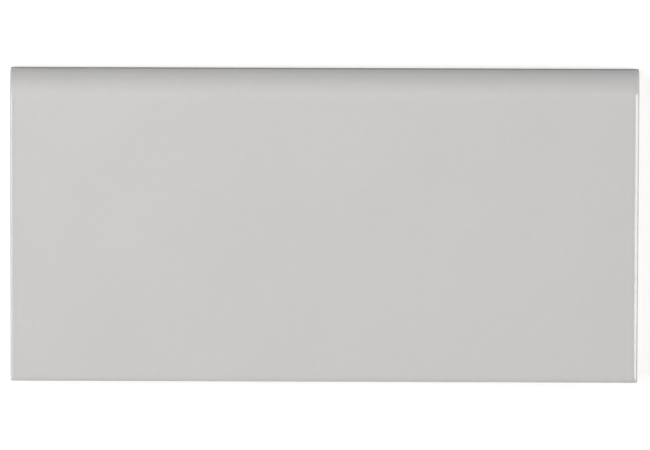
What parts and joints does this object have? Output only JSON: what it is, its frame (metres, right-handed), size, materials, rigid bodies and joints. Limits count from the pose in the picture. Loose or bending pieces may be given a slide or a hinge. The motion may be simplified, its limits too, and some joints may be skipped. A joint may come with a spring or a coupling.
{
  "type": "bullnose tile",
  "caption": "Oblong glazed ceramic wall tile with one long edge rolled over in a quarter-round, softened arrises elsewhere and a keyed back for adhesive.",
  "frame": {"origin": "centre of the tile's outline, in the plane of the ribs of its back", "axes": "+X along the bullnosed edge, +Y towards the bullnosed edge, +Z out of the glazed face"},
  "size_m": [0.15, 0.075, 0.008],
  "materials": {
    "glaze": "gloss"
  },
  "bodies": {
    "root": {"bullnose_tile": "glaze"}
  },
  "joints": []
}
